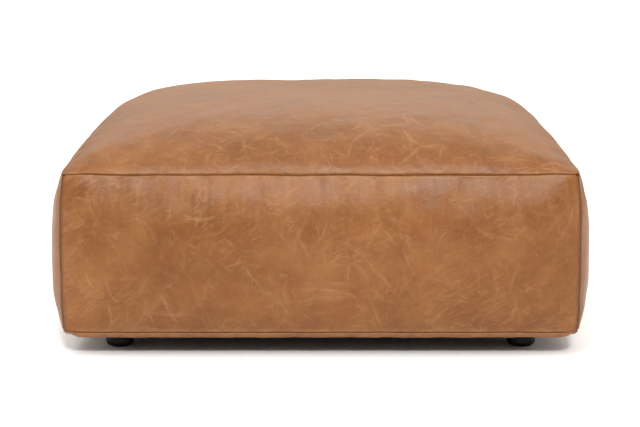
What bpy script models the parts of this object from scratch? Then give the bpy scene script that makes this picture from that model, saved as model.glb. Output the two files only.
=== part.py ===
"""A square leather pouf: a sewn leather cover over foam, on a webbed plywood box with four screw-in feet.

Metres, +Z up. The origin is on the floor under the middle of the pouf, and -Y is the front.
The cover is one family of outlines: at every height its plan is a superellipse through the four
upright corner seams, so each side swells between them, and the top rises from the seam as a crown.
Foam, wrap and leather all follow that family, each drawn a little further in than the next.
"""

import math

import bmesh
import bpy
from mathutils import Vector

# Cover outline
SEAM_HALF = 0.450  # centre to an upright corner seam, along x and along y
BASE_HEIGHT = 0.035  # floor to the lowest edge of the leather
HEM_HEIGHT = 0.046  # floor to the seam between a side panel and its base band
TOP_SEAM_HEIGHT = 0.328  # floor to the seam round the top panel
CROWN = 0.098  # rise of the top panel above its seam
SEAM_REACH = 0.004  # how far the seams at hem and top stand out in the middle of a side
SIDE_SWELL = 0.032  # how far a side panel stands out at its fullest
CORNER_BOW = 0.006  # how far an upright seam bows out at half height
SWELL_POWER_BELOW = 4.0  # how flat the swell is below half height
SWELL_POWER_ABOVE = 2.6  # how flat it is above
CROWN_FLATNESS = 3.2  # how flat the crown is across the top
CROWN_ROUNDNESS = 1.9  # how round its shoulder is

# Base band, the strip that turns under the frame
BAND_RADIUS = 0.006
FLANGE_END = 0.4020  # centre to the band's raw edge under the frame
CORNER_PULL = 0.004  # how much further in the band's corner is than its seam
HEM_RISE = 0.001  # how far the hem lifts at a corner
BAND_RISE = 0.0055  # how far the band's lower edge lifts there
RISE_POWER = 60  # how close to the corner it lifts

# Thicknesses and gaps
LEATHER = 0.002
SEAM_GAP = 0.0004  # from the edge of a panel to the seam line
CLEARANCE = 0.0003  # between pieces that touch
COVER_CLEARANCE = 0.0010  # between the leather and what it is stretched over
WRAP = 0.012
FELT = 0.003
DUST_CLOTH = 0.0006

# Plywood box
BOX_HALF = 0.415
PLY = 0.018
BOX_BOTTOM = BASE_HEIGHT + LEATHER + CLEARANCE
BOX_TOP = 0.235
BLOCK_SIDE = 0.095
BLOCK_TOP = 0.057
POST_SIDE = 0.020
STRETCHER_HEIGHT = 0.060
EDGE_BEVEL = 0.001

# Webbing, four straps each way
STRAPS = 4
STRAP_PITCH = 0.185
STRAP_WIDTH = 0.050
STRAP_THICKNESS = 0.0015
STRAP_WAVE = 0.0015  # how far a strap rises and falls where it is woven
STRAP_MIDDLE = BOX_TOP + CLEARANCE + STRAP_THICKNESS / 2 + STRAP_WAVE
STRAP_FADE = 0.060  # past the outermost crossing the weave has died away
STRAP_HALF = BOX_HALF - 0.004

# Heights of the padding
FELT_BOTTOM = STRAP_MIDDLE + STRAP_WAVE + STRAP_THICKNESS / 2 + CLEARANCE
FOAM_BOTTOM = FELT_BOTTOM + FELT + CLEARANCE
WRAP_INSET = LEATHER + COVER_CLEARANCE
FOAM_INSET = WRAP_INSET + WRAP + COVER_CLEARANCE

# Feet and their fixings
FOOT_OFFSET = 0.366  # centre of the pouf to the centre of a foot, along x and along y
FOOT_RADIUS = 0.0254
FOOT_SOLE = 0.017  # radius of the flat that rests on the floor
FOOT_SHOULDER = 0.010  # height at which the side has become upright
DUST_BOTTOM = BASE_HEIGHT - CLEARANCE - DUST_CLOTH
FOOT_TOP = DUST_BOTTOM - CLEARANCE
FOOT_BORE = 0.0043
BORE_BOTTOM = 0.0117
STUD_RADIUS = 0.00395
STUD_BOTTOM = BORE_BOTTOM + CLEARANCE
STUD_TOP = 0.061
NUT_BARREL = 0.0050
NUT_BORE = 0.0043
NUT_FLANGE = 0.0110
NUT_FLANGE_THICKNESS = 0.0015
NUT_BOTTOM = 0.045
BLOCK_HOLE = 0.0054
DUST_HOLE = 0.0060
DUST_HALF = 0.418
DUST_ROUNDING = 0.010

# Mesh fineness
SEGMENTS = 16  # across a panel
SIDE_ROWS = 8
PAD_ROWS = 4  # side rows 1 to 5 from the hem
CAP_LEVELS = 3  # side rows 5 to 8
BEND_ROWS = 4
BAND_ROWS = 6

SIDES = {"front": 0, "right": 90, "back": 180, "left": 270}  # name: degrees about +Z from the front
CORNERS = {
    "front_left": (-1, -1),
    "front_right": (1, -1),
    "back_right": (1, 1),
    "back_left": (-1, 1),
}


def clear_scene():
    for obj in list(bpy.data.objects):
        bpy.data.objects.remove(obj)


def make_collection(name):
    collection = bpy.data.collections.new(name)
    bpy.context.scene.collection.children.link(collection)
    return collection


def make_material(name, colour, roughness, metallic=0.0):
    material = bpy.data.materials.new(name)
    material.use_nodes = True
    shader = material.node_tree.nodes["Principled BSDF"]
    shader.inputs["Base Color"].default_value = (*colour, 1.0)
    shader.inputs["Roughness"].default_value = roughness
    shader.inputs["Metallic"].default_value = metallic
    return material


def add_object(name, mesh, material, place=(0, 0, 0), turn=0):
    """Turns a bmesh into an object of the pouf, smooth where it curves."""
    data = bpy.data.meshes.new(name)
    bmesh.ops.recalc_face_normals(mesh, faces=mesh.faces)
    if mesh.calc_volume(signed=True) < 0:
        bmesh.ops.reverse_faces(mesh, faces=mesh.faces)
    mesh.to_mesh(data)
    mesh.free()
    data.materials.append(material)
    data.shade_smooth()
    data.set_sharp_from_angle(angle=math.radians(35))
    obj = bpy.data.objects.new(name, data)
    obj.location = place
    obj.rotation_euler.z = math.radians(turn)
    obj.parent = POUF
    PARTS.objects.link(obj)
    return obj


def ease(value):
    """Spreads evenly spaced values so that they crowd towards -1 and 1, where the cover bends most."""
    return math.sin(value * math.pi / 2)


def row_height(row):
    """The height of a row of the side panels, counted from the hem; the padding behind keeps to the same rows."""
    share = (1 + ease(2 * row / SIDE_ROWS - 1)) / 2
    return HEM_HEIGHT + share * (TOP_SEAM_HEIGHT - HEM_HEIGHT)


def outline(height):
    """How far from the middle the corner seam and the fullest point of a side are at a height."""
    share = (height - HEM_HEIGHT) / (TOP_SEAM_HEIGHT - HEM_HEIGHT)
    share = min(max(share, 0.0), 1.0)
    power = SWELL_POWER_BELOW if share < 0.5 else SWELL_POWER_ABOVE
    swell = 1 - abs(2 * share - 1) ** power
    corner = SEAM_HALF + CORNER_BOW * swell
    reach = corner + SEAM_REACH + (SIDE_SWELL - SEAM_REACH) * swell
    return corner, reach


def side_line(along, corner, reach):
    """How far out a side stands at a distance along it: the superellipse that passes through the corner."""
    power = math.log(2) / math.log(reach / corner)
    return reach * (1 - (abs(along) / reach) ** power) ** (1 / power)


def side_point(across, height, inset=0.0, gap=0.0):
    """A point of the front side of the cover, or of the surface that lies inset behind it."""
    corner, reach = outline(height)
    corner -= inset
    reach -= inset
    x = across * (corner - gap)
    return Vector((x, -side_line(x, corner, reach), height))


def cap_point(u, v, height, rise, inset):
    """A point over the plan of the cover at a height, where u and v run from -1 to 1 between the seams."""
    corner, reach = outline(height)
    corner -= inset
    reach -= inset
    x = u * side_line(v * corner, corner, reach)
    y = v * side_line(u * corner, corner, reach)
    crown = ((1 - abs(u) ** CROWN_FLATNESS) * (1 - abs(v) ** CROWN_FLATNESS)) ** (1 / CROWN_ROUNDNESS)
    return Vector((x, y, height + rise * crown))


def grid(columns, rows):
    mesh = bmesh.new()
    bmesh.ops.create_grid(mesh, x_segments=columns, y_segments=rows, size=1)
    return mesh


def bend_shell(mesh, outer, inner):
    """Bends an open surface to outer, and its extruded copy to inner, which makes one closed shell."""
    made = bmesh.ops.extrude_face_region(mesh, geom=mesh.faces[:])["geom"]
    copies = {item for item in made if isinstance(item, bmesh.types.BMVert)}
    for vert in mesh.verts:
        shape = inner if vert in copies else outer
        vert.co = shape(vert.co)
    return mesh


def cap_mesh(levels):
    """A grid over the top, at z 0, with its rim drawn down level by level, at z -1, -2 and so on."""
    mesh = grid(SEGMENTS, SEGMENTS)
    rim = [edge for edge in mesh.edges if edge.is_boundary]
    for _ in range(levels):
        made = bmesh.ops.extrude_edge_only(mesh, edges=rim)["geom"]
        for vert in (item for item in made if isinstance(item, bmesh.types.BMVert)):
            vert.co.z -= 1
        rim = [edge for edge in made if isinstance(edge, bmesh.types.BMEdge) and edge.is_boundary]
    return mesh, rim


def cap_shape(inset):
    """Bends a cap mesh to the cover's top and upper sides, down to the level of the deck."""

    def shape(place):
        height = max(row_height(SIDE_ROWS + place.z), FOAM_BOTTOM)
        rise = CROWN - inset if place.z == 0 else 0.0
        return cap_point(ease(place.x), ease(place.y), height, rise, inset)

    return shape


def add_box(name, material, low, high, turn=0):
    """A block of sawn wood between two corners, with its edges eased."""
    mesh = bmesh.new()
    bmesh.ops.create_cube(mesh, size=1)
    size = Vector(high) - Vector(low)
    bmesh.ops.scale(mesh, vec=size, verts=mesh.verts)
    bmesh.ops.translate(mesh, vec=(Vector(high) + Vector(low)) / 2, verts=mesh.verts)
    obj = add_object(name, mesh, material, turn=turn)
    bevel = obj.modifiers.new("eased_edges", "BEVEL")
    bevel.width = EDGE_BEVEL
    bevel.segments = 1
    return obj


def add_turned(name, material, profile, steps, place):
    """A turned piece from (radius, height) points that run down its outer side."""
    mesh = bmesh.new()
    verts = [mesh.verts.new((radius, 0, height)) for radius, height in profile]
    for start, end in zip(verts, verts[1:]):
        mesh.edges.new((start, end))
    obj = add_object(name, mesh, material, place=place)
    screw = obj.modifiers.new("turning", "SCREW")
    screw.steps = steps
    screw.render_steps = steps
    screw.use_merge_vertices = True
    screw.merge_threshold = 0.00001
    screw.use_smooth_shade = True
    return obj


def bore_through(obj, radius, x, y, cutters):
    """Drills a round upright hole right through an object."""
    bpy.ops.mesh.primitive_cylinder_add(vertices=24, radius=radius, depth=4 * BLOCK_TOP, location=(x, y, 0))
    cutter = bpy.context.object
    cutter.name = f"cutter_{obj.name}_{len(cutters.objects)}"
    for holder in list(cutter.users_collection):
        holder.objects.unlink(cutter)
    cutters.objects.link(cutter)
    cutter.hide_render = True
    cutter.display_type = "WIRE"
    cut = obj.modifiers.new("bore", "BOOLEAN")
    cut.operation = "DIFFERENCE"
    cut.object = cutter


def make_top_panel(leather):
    height = TOP_SEAM_HEIGHT + SEAM_GAP
    mesh = bend_shell(
        grid(SEGMENTS, SEGMENTS),
        lambda p: cap_point(ease(p.x), ease(p.y), height, CROWN, 0.0),
        lambda p: cap_point(ease(p.x), ease(p.y), height, CROWN - LEATHER, LEATHER),
    )
    add_object("top_panel", mesh, leather)


def make_side_panels(leather):
    low = HEM_HEIGHT + SEAM_GAP
    high = TOP_SEAM_HEIGHT - SEAM_GAP

    def shape(inset):
        def point(place):
            share = (1 + ease(place.y)) / 2
            lift = HEM_RISE * abs(ease(place.x)) ** RISE_POWER * (1 - share) ** 4
            return side_point(ease(place.x), low + share * (high - low) + lift, inset, SEAM_GAP)

        return point

    for side, turn in SIDES.items():
        mesh = bend_shell(grid(SEGMENTS, SIDE_ROWS), shape(0.0), shape(LEATHER))
        add_object(f"{side}_panel", mesh, leather, turn=turn)


def make_base_bands(leather):
    """The strips below the hem: a quarter bend, then a flange under the box that is stapled to it."""
    centre = SEAM_HALF + SEAM_REACH - BAND_RADIUS
    bend_share = BEND_ROWS / BAND_ROWS

    def shape(inset):
        radius = BAND_RADIUS - inset
        drop = HEM_HEIGHT - SEAM_GAP - BASE_HEIGHT - inset

        def point(place):
            down = (1 - place.y) / 2
            angle = min(down / bend_share, 1) * math.pi / 2
            under = max(down - bend_share, 0) / (1 - bend_share)
            reach = centre + radius * math.cos(angle) + under * (FLANGE_END - centre)
            slack = max(1 - 2 * under, 0)
            corner = reach - SEAM_REACH - CORNER_PULL * math.sin(angle) * slack
            x = ease(place.x) * (corner - SEAM_GAP)
            lift = HEM_RISE + (BAND_RISE - HEM_RISE) * math.sin(angle)
            lift *= abs(ease(place.x)) ** RISE_POWER * slack
            height = HEM_HEIGHT - SEAM_GAP - drop * math.sin(angle) + lift
            return Vector((x, -side_line(x, corner, reach), height))

        return point

    for side, turn in SIDES.items():
        mesh = bend_shell(grid(SEGMENTS, BAND_ROWS), shape(0.0), shape(LEATHER))
        add_object(f"base_band_{side}", mesh, leather, turn=turn)


def make_padding(foam, fibre, felt):
    mesh, _ = cap_mesh(CAP_LEVELS)
    mesh = bend_shell(mesh, cap_shape(WRAP_INSET), cap_shape(WRAP_INSET + WRAP))
    add_object("fibre_wrap", mesh, fibre)

    mesh, rim = cap_mesh(CAP_LEVELS)
    bmesh.ops.contextual_create(mesh, geom=rim)
    shape = cap_shape(FOAM_INSET)
    for vert in mesh.verts:
        vert.co = shape(vert.co)
    add_object("seat_foam", mesh, foam)

    def pad_face(place):
        row = 1 + (1 + place.y) / 2 * PAD_ROWS
        height = min(row_height(row), FOAM_BOTTOM - CLEARANCE)
        return side_point(ease(place.x), height, WRAP_INSET, CLEARANCE)

    def pad_back(place):
        across = ease(place.x) * BOX_HALF
        return Vector((across, -(BOX_HALF + CLEARANCE), pad_face(place).z))

    for side, turn in SIDES.items():
        mesh = bend_shell(grid(SEGMENTS, PAD_ROWS), pad_face, pad_back)
        add_object(f"foam_pad_{side}", mesh, foam, turn=turn)

    half = BOX_HALF - CLEARANCE
    add_box("deck_felt", felt, (-half, -half, FELT_BOTTOM), (half, half, FELT_BOTTOM + FELT))


def make_box(plywood, cutters):
    """Four boards butted at the corners, a post and a foot block inside each corner, and a stretcher."""
    inside = BOX_HALF - PLY
    for side, turn in SIDES.items():
        half = BOX_HALF if side in ("front", "back") else inside - CLEARANCE
        add_box(
            f"side_board_{side}",
            plywood,
            (-half, -BOX_HALF, BOX_BOTTOM),
            (half, -inside, BOX_TOP),
            turn=turn,
        )
    outer = inside - CLEARANCE
    for corner, (sx, sy) in CORNERS.items():
        block = add_box(
            f"foot_block_{corner}",
            plywood,
            (min(sx * outer, sx * (outer - BLOCK_SIDE)), min(sy * outer, sy * (outer - BLOCK_SIDE)), BASE_HEIGHT),
            (max(sx * outer, sx * (outer - BLOCK_SIDE)), max(sy * outer, sy * (outer - BLOCK_SIDE)), BLOCK_TOP),
        )
        bore_through(block, BLOCK_HOLE, sx * FOOT_OFFSET, sy * FOOT_OFFSET, cutters)
        add_box(
            f"corner_post_{corner}",
            plywood,
            (
                min(sx * outer, sx * (outer - POST_SIDE)),
                min(sy * outer, sy * (outer - POST_SIDE)),
                BLOCK_TOP + CLEARANCE,
            ),
            (
                max(sx * outer, sx * (outer - POST_SIDE)),
                max(sy * outer, sy * (outer - POST_SIDE)),
                BOX_TOP - CLEARANCE,
            ),
        )
    add_box(
        "centre_stretcher",
        plywood,
        (-PLY / 2, -outer, BOX_BOTTOM),
        (PLY / 2, outer, BOX_BOTTOM + STRETCHER_HEIGHT),
    )


def make_webbing(webbing):
    """Straps over the box, each passing over and under the straps that cross it."""
    first = -(STRAPS - 1) / 2 * STRAP_PITCH
    for direction, turn in (("across", 0), ("along", 90)):
        for row in range(STRAPS):
            mesh = grid(STRAPS * 6, 1)
            phase = row if direction == "across" else row + 1
            for vert in mesh.verts:
                x = vert.co.x * STRAP_HALF
                past = max(abs(x) + first - STRAP_WIDTH / 2, 0) / STRAP_FADE
                fade = max(1 - past, 0)
                wave = math.cos(math.pi * ((x - first) / STRAP_PITCH + phase))
                height = STRAP_MIDDLE + STRAP_WAVE * (wave * fade - (1 - fade))
                vert.co = Vector((x, vert.co.y * STRAP_WIDTH / 2, height))
            turned = first + row * STRAP_PITCH
            place = (0, turned, 0) if direction == "across" else (turned, 0, 0)
            obj = add_object(f"webbing_{direction}_{row + 1}", mesh, webbing, place=place, turn=turn)
            solid = obj.modifiers.new("strap", "SOLIDIFY")
            solid.thickness = STRAP_THICKNESS
            solid.offset = 0


def make_dust_cover(cloth, cutters):
    """A flat cloth under the box that hides the raw edges of the leather."""
    mesh = grid(1, 1)
    bmesh.ops.bevel(mesh, geom=mesh.verts[:], offset=DUST_ROUNDING / DUST_HALF, segments=3, affect="VERTICES")
    mesh = bend_shell(
        mesh,
        lambda p: Vector((p.x * DUST_HALF, p.y * DUST_HALF, DUST_BOTTOM)),
        lambda p: Vector((p.x * DUST_HALF, p.y * DUST_HALF, DUST_BOTTOM + DUST_CLOTH)),
    )
    obj = add_object("dust_cover", mesh, cloth)
    for sx, sy in CORNERS.values():
        bore_through(obj, DUST_HOLE, sx * FOOT_OFFSET, sy * FOOT_OFFSET, cutters)


def make_feet(plastic, steel):
    bend = FOOT_RADIUS - FOOT_SOLE
    arc = [
        (FOOT_SOLE + bend * math.cos(a), FOOT_SHOULDER * (1 - math.sin(a)))
        for a in (step / 5 * math.pi / 2 for step in range(6))
    ]
    foot = [(0, BORE_BOTTOM), (FOOT_BORE, BORE_BOTTOM), (FOOT_BORE, FOOT_TOP), (FOOT_RADIUS, FOOT_TOP)]
    foot += arc + [(0, 0)]
    nut_top = BLOCK_TOP + CLEARANCE + NUT_FLANGE_THICKNESS
    nut = [
        (NUT_BORE, nut_top),
        (NUT_FLANGE, nut_top),
        (NUT_FLANGE, nut_top - NUT_FLANGE_THICKNESS),
        (NUT_BARREL, nut_top - NUT_FLANGE_THICKNESS),
        (NUT_BARREL, NUT_BOTTOM),
        (NUT_BORE, NUT_BOTTOM),
        (NUT_BORE, nut_top),
    ]
    tip = STUD_RADIUS / 4
    stud = [
        (0, STUD_TOP),
        (STUD_RADIUS - tip, STUD_TOP),
        (STUD_RADIUS, STUD_TOP - tip),
        (STUD_RADIUS, STUD_BOTTOM),
        (0, STUD_BOTTOM),
    ]
    for corner, (sx, sy) in CORNERS.items():
        place = (sx * FOOT_OFFSET, sy * FOOT_OFFSET, 0)
        add_turned(f"foot_{corner}", plastic, foot, 24, place)
        add_turned(f"foot_stud_{corner}", steel, stud, 16, place)
        add_turned(f"t_nut_{corner}", steel, nut, 16, place)


def main():
    leather = make_material("leather", (0.40, 0.18, 0.075), 0.45)
    foam = make_material("foam", (0.86, 0.80, 0.58), 0.95)
    fibre = make_material("fibre", (0.90, 0.90, 0.88), 1.0)
    felt = make_material("felt", (0.30, 0.30, 0.31), 1.0)
    webbing = make_material("webbing", (0.05, 0.05, 0.055), 0.9)
    plywood = make_material("plywood", (0.62, 0.44, 0.26), 0.65)
    cloth = make_material("dust_cloth", (0.015, 0.015, 0.016), 0.95)
    plastic = make_material("foot_plastic", (0.010, 0.010, 0.011), 0.45)
    steel = make_material("zinc_steel", (0.62, 0.62, 0.60), 0.35, metallic=1.0)
    cutters = make_collection("cutters")
    make_top_panel(leather)
    make_side_panels(leather)
    make_base_bands(leather)
    make_padding(foam, fibre, felt)
    make_box(plywood, cutters)
    make_webbing(webbing)
    make_dust_cover(cloth, cutters)
    make_feet(plastic, steel)


clear_scene()
PARTS = make_collection("pouf")
POUF = bpy.data.objects.new("pouf_origin", None)
PARTS.objects.link(POUF)
main()
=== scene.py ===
"""The looks of a square leather pouf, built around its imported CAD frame.

Every leather piece is drawn from the cover's own outline: at each height its plan is a superellipse
through the four upright corner seams, and the top is a crown over the same plan. A cloth simulation
of each panel, held at its seams, gives the soft creases that are added to that shape.
"""

import math

import bpy
import numpy as np
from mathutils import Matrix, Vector


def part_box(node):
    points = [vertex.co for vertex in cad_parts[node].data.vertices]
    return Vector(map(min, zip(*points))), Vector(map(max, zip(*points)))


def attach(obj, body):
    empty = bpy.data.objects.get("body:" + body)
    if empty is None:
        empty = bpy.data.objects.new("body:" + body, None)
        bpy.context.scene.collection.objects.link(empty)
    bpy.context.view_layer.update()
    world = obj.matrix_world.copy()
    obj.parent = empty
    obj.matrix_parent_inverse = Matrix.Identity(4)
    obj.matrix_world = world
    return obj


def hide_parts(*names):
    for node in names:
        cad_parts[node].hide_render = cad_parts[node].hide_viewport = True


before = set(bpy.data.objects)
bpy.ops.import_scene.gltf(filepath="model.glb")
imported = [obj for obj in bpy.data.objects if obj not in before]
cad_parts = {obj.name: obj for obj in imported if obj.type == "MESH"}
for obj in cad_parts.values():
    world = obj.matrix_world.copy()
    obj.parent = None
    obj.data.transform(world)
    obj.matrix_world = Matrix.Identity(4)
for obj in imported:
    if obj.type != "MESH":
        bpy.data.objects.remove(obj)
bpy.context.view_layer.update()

ROOT = "root"

# The cover's outline: the CAD's, but a little wider at the hem and with rounder lower corners
SEAM_REACH = 0.004
SWELL_POWER_BELOW = 3.2
SWELL_POWER_ABOVE = 2.6
CROWN_FLATNESS = 3.2
CROWN_ROUNDNESS = 1.9
HEM_SPREAD = 0.0044  # the padding stands a little wider at the hem than at the top seam
HEM_SPREAD_POWER = 6
SETTLE = 0.0035  # how far the padding sinks behind the CAD's sides, because creases stand proud of it
CORNER_PULL = 0.0040
BAND_RADIUS = 0.0098
BAND_SQUARENESS = 2.4
HEM_RISE = 0.0072  # how far the hem lifts at a corner
BAND_RISE = 0.0064  # how far the lower edge of the leather lifts there
HEM_RISE_REACH = 0.022
BAND_RISE_REACH = 0.021
CORNER_ROUNDNESS = 1.6
FLANGE_END = 0.402

TOP_LOW, TOP_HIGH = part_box("top_panel")
FRONT_LOW, FRONT_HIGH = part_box("front_panel")
SEAM_GAP = (TOP_LOW[2] - FRONT_HIGH[2]) / 2
TOP_SEAM = TOP_LOW[2] - SEAM_GAP
HEM = FRONT_LOW[2] - SEAM_GAP
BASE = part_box("base_band_front")[0][2]
CROWN = TOP_HIGH[2] - TOP_LOW[2]
REACH_AT_SEAM = TOP_HIGH[0]
REACH_AT_HEM = REACH_AT_SEAM + HEM_SPREAD
SEAM_HALF = REACH_AT_SEAM - SEAM_REACH
FULL_REACH = -FRONT_LOW[1] - SETTLE
BOW = FRONT_HIGH[0] + SEAM_GAP - SEAM_HALF

# Fineness of the leather's mesh: points crowd at these distances from a seam, and are even beyond
STEP = 0.0060
EDGE_STEPS = [
    0.0, 0.0003, 0.0006, 0.0010, 0.0015, 0.0021, 0.0028, 0.0037, 0.0049, 0.0066, 0.0090, 0.0125, 0.0172
]
COARSE_STEP = 0.0105
DENSE = 6000  # points along a curve when its length is measured

# The rolled edge of a panel where it goes into a seam
ROLL_WIDTH = 0.0021
ROLL_DEPTH = 0.0018
UPRIGHT_ROLL_WIDTH = 0.0052
UPRIGHT_ROLL_DEPTH = 0.0030
BAND_ROLL_WIDTH = 0.0026
BAND_ROLL_DEPTH = 0.0024
ALLOWANCE = 0.0045  # leather turned in behind the seam
NOTCH_DEPTH = 0.0040  # how far a panel's corner is drawn in where three seams meet
NOTCH_SIZE = 0.0055
SEAM_SLIT = 0.00012
SKIN = 0.0013
NEAREST_FACE = 24  # a high power, so that the way into the cover is straight in except close to a seam
LEVEL_SHARE = 0.37  # a level seam is drawn in more than it is drawn down or up

# Cloth
CLOTH_FRAMES = 24
CREASE_CAP = 0.0022
CREASE_CELLS = 3.2  # creases wider than this many cells are left to the outline
CLOTH = {
    "quality": 7,
    "mass": 0.5,
    "tension_stiffness": 40,
    "compression_stiffness": 40,
    "shear_stiffness": 18,
    "bending_stiffness": 1.5,
    "tension_damping": 15,
    "compression_damping": 15,
    "air_damping": 4,
    "use_pressure": True,
    "uniform_pressure_force": 2.0,
    "shrink_min": -0.022,
    "vertex_group_mass": "seams",
}

# Fixings under the frame
STAPLE_PITCH = 0.038
FOOT_CLEAR = 0.029  # the cloth is flat this far from a foot's centre

SIDES = {"front": 0, "right": 90, "back": 180, "left": 270}


# ---- shape

def outline(height):
    """The cover's plan at a height: how far out its corner seams are, and the middles of its sides."""
    share = np.clip((height - HEM) / (TOP_SEAM - HEM), 0, 1)
    power = np.where(share < 0.5, SWELL_POWER_BELOW, SWELL_POWER_ABOVE)
    swell = 1 - np.abs(2 * share - 1) ** power
    spread = HEM_SPREAD * (1 - share) ** HEM_SPREAD_POWER
    return SEAM_HALF + BOW * swell + spread, REACH_AT_SEAM + (FULL_REACH - REACH_AT_SEAM) * swell + spread


def side_line(along, corner, reach):
    """How far out a side of that plan is at a distance along it."""
    power = math.log(2) / np.log(reach / corner)
    inside = np.clip(1 - (np.abs(along) / reach) ** power, 0, 1)
    return reach * inside ** (1 / power)


def crown_profile(u):
    return (1 - np.minimum(np.abs(u), 1) ** CROWN_FLATNESS) ** (1 / CROWN_ROUNDNESS)


def top_surface(u, v, height=TOP_SEAM, rise=CROWN, inset=0.0):
    """A crown of some rise over the plan at a height, an inset behind the cover."""
    corner, reach = (size - inset for size in outline(height))
    x = u * side_line(v * corner, corner, reach)
    y = v * side_line(u * corner, corner, reach)
    return np.stack([x, y, height + rise * crown_profile(u) * crown_profile(v)], -1)


def side_surface(s, height, inset=0.0):
    corner, reach = (size - inset for size in outline(height))
    x = s * corner
    return np.stack([x, -side_line(x, corner, reach), height + 0 * x], -1)


def corner_rise(s, rise, reach):
    """A lift of the hem or fold that rounds off the corner, as a quarter of a superellipse."""
    near = np.clip(1 - (1 - np.minimum(np.abs(s), 1)) * SEAM_HALF / reach, 0, 1)
    return rise * (1 - (1 - near**CORNER_ROUNDNESS) ** (1 / CORNER_ROUNDNESS))


def band_surface(s, down):
    """The base band: down is 0 at the hem, 1 at the fold under the frame and 2 at the raw edge."""
    angle = np.minimum(down, 1) * math.pi / 2
    under = np.maximum(down - 1, 0)
    centre = REACH_AT_HEM - BAND_RADIUS
    full = np.sin(angle) ** 1.15
    bulge = np.maximum(1 - full**BAND_SQUARENESS, 0) ** (1 / BAND_SQUARENESS)
    reach = centre + BAND_RADIUS * bulge + under * (FLANGE_END - centre)
    slack = np.maximum(1 - 2 * under, 0)
    corner = reach - SEAM_REACH - CORNER_PULL * np.sin(angle) * slack
    hem, fold = corner_rise(s, HEM_RISE, HEM_RISE_REACH), corner_rise(s, BAND_RISE, BAND_RISE_REACH)
    height = HEM - (HEM - BASE) * full + (hem + (fold - hem) * full) * slack
    x = s * corner
    return np.stack([x, -side_line(x, corner, reach), height], -1)


def turned(points, degrees):
    """Turned about Z, from the front to another side."""
    c, s = math.cos(math.radians(degrees)), math.sin(math.radians(degrees))
    return points @ np.array([[c, s, 0], [-s, c, 0], [0, 0, 1.0]])


def into_cover(points):
    """The direction from each point into the cover, midway between the panels that meet at a seam."""
    _, reach = outline(points[..., 2])
    middle, half = (HEM + TOP_SEAM) / 2, (TOP_SEAM - HEM) / 2
    scaled = np.stack([points[..., 0] / reach, points[..., 1] / reach, (points[..., 2] - middle) / half], -1)
    scaled = np.clip(scaled, -1, 1)
    pull = -np.sign(scaled) * np.abs(scaled) ** NEAREST_FACE
    pull[..., 2] *= LEVEL_SHARE
    return pull / np.maximum(np.linalg.norm(pull, axis=-1, keepdims=True), 1e-9)


def run_length(points):
    """The distance along a line of points, at each of them."""
    return np.concatenate([[0], np.cumsum(np.linalg.norm(np.diff(points, axis=0), axis=1))])


def spaced(curve, step, edge_steps):
    """Values from -1 to 1 that crowd at both ends, and each one's distance along the curve from its end.

    The last value returned is half the curve's length.
    """
    dense = 1 - np.linspace(0, 1, DENSE) ** 2
    length = run_length(curve(dense))
    count = max(int(round((length[-1] - edge_steps[-1]) / step)), 2)
    far = np.concatenate([edge_steps[:-1], np.linspace(edge_steps[-1], length[-1], count + 1)])
    values = np.interp(np.maximum(far, SEAM_SLIT), length, dense)
    return np.concatenate([-values, values[-2::-1]]), np.concatenate([far, far[-2::-1]]), length[-1]


def panel_rows(low, high, step, edge_steps):
    """Heights between two seams, crowded at both, their distances up the panel, and how high the panel is."""
    dense = np.linspace(low, high, DENSE)
    length = run_length(np.stack([dense, outline(dense)[1]], -1))
    total = length[-1]
    count = max(int(round((total - 2 * edge_steps[-1]) / step)), 2)
    inner = np.linspace(edge_steps[-1], total - edge_steps[-1], count + 1)
    ends = np.array(edge_steps[:-1])
    along = np.concatenate([ends, inner, total - ends[::-1]])
    return np.interp(np.clip(along, SEAM_SLIT, total - SEAM_SLIT), length, dense), along, total


# ---- smooth noise

def waves(x, y, length, seed, count=26):
    """Smooth noise of about unit strength with features of one length, from a fixed set of plane waves."""
    rng = np.random.default_rng(seed)
    total = 0
    for _ in range(count):
        angle = rng.uniform(0, math.pi)
        pitch = 2 * math.pi / (length * rng.uniform(0.7, 1.5))
        along = x * math.cos(angle) + y * math.sin(angle)
        total = total + np.cos(pitch * along + rng.uniform(0, 2 * math.pi))
    return total / math.sqrt(count / 2)


def ripples(along, length, seed, count=18):
    """The same along a line."""
    rng = np.random.default_rng(seed)
    total = 0
    for _ in range(count):
        pitch = 2 * math.pi / (length * rng.uniform(0.6, 1.7))
        total = total + np.cos(pitch * along + rng.uniform(0, 2 * math.pi))
    return total / math.sqrt(count / 2)


def hill(x, centre, width):
    """A smooth hump of height 1."""
    return np.exp(-(((x - centre) / width) ** 2))


# ---- panels

class Panel:
    """A grid of points over one leather panel, with its flat coordinates and distances from its seams.

    columns and rows each give grid values, distances from a seam, and the panel's half width or its height.
    A height of 0 stands for the top panel, whose rows are measured from both ends like its columns.
    """

    def __init__(self, name, seed, surface, columns, rows, turn):
        self.name, self.seed, self.turn = name, seed, turn
        self.column, from_side, across = columns
        self.row, self.up, self.height = rows
        self.u, self.v = np.meshgrid(self.column, self.row, indexing="ij")
        self.points = surface(self.u, self.v)
        self.along = np.sign(self.column) * (across - from_side)
        from_end = np.minimum(self.up, self.height - self.up) if self.height > 0 else self.up
        self.edge_u = np.broadcast_to(from_side[:, None], self.u.shape)
        self.edge_v = np.broadcast_to(from_end[None, :], self.u.shape)
        self.edge = np.minimum(self.edge_u, self.edge_v)


def top_panel(step, edge_steps):
    """The crowned top, with its points spaced along its middle line."""

    def middle(u):
        return np.stack([u * REACH_AT_SEAM, CROWN * crown_profile(u)], -1)

    values, far, half = spaced(middle, step, edge_steps)
    panel = Panel("top_cover", 11, top_surface, (values, far, half), (values, far, 0), 0)
    panel.up = np.sign(values) * (half - far)
    return panel


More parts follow.
